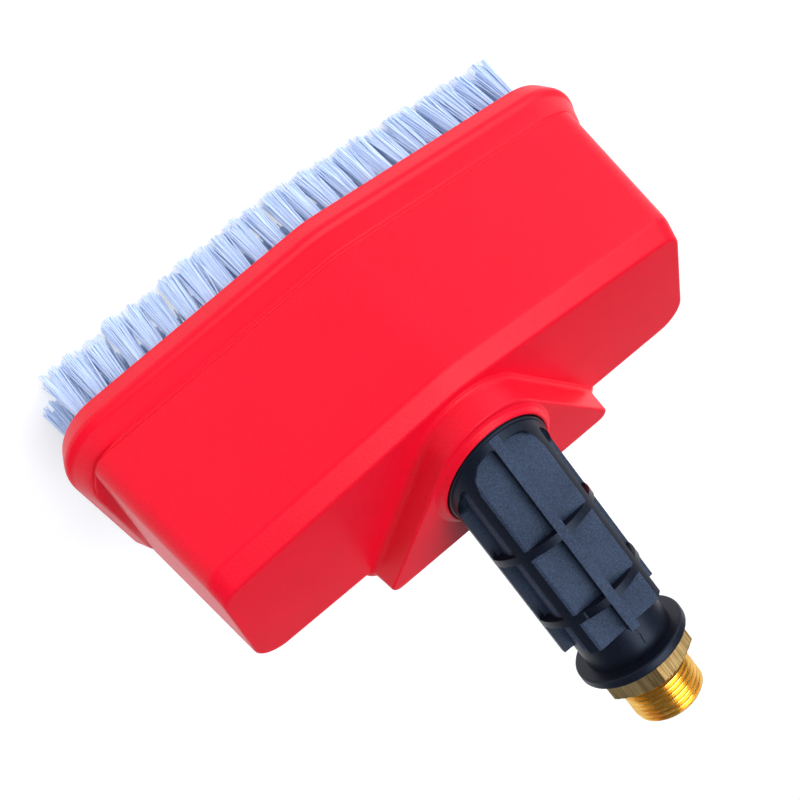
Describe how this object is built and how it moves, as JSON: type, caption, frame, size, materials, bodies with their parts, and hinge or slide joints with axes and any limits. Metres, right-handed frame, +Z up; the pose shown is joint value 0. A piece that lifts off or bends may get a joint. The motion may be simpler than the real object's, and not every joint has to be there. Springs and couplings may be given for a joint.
{
  "type": "wash brush head",
  "caption": "Fixed wash brush head: hollow hood over a tufted block, with a tilted ribbed grip adapter and a threaded brass water inlet.",
  "frame": {"origin": "on the mirror plane, at the level of the bristle tips, at the tip of the fourth row's middle tuft", "axes": "+X along the brush's length, +Y towards its rear, where the grip leans, +Z up from the bristle tips to the hood"},
  "size_m": [0.1944, 0.1023, 0.1726],
  "materials": {
    "red_plastic": "fine grained moulded plastic",
    "block_plastic": "plain moulded plastic",
    "bristle": "soft pale filament",
    "black_plastic": "grained pads and smooth ribs",
    "black_rubber": "plain rubber",
    "screw_steel": "stainless",
    "brass": "turned and milled brass"
  },
  "bodies": {
    "root": {"hood_shell": "red_plastic", "brush_block": "block_plastic", "block_seal": "black_rubber", "block_screws": "screw_steel", "tuft_row_1": "bristle", "tuft_row_2": "bristle", "tuft_row_3": "bristle", "tuft_row_4": "bristle", "tuft_row_5": "bristle", "tuft_row_6": "bristle", "grip_adapter": "black_plastic", "adapter_gasket": "black_rubber", "adapter_screws": "screw_steel", "spigot_seal": "black_rubber", "spray_nozzle": "brass", "inlet_fitting": "brass", "fitting_seal": "black_rubber"}
  },
  "joints": []
}
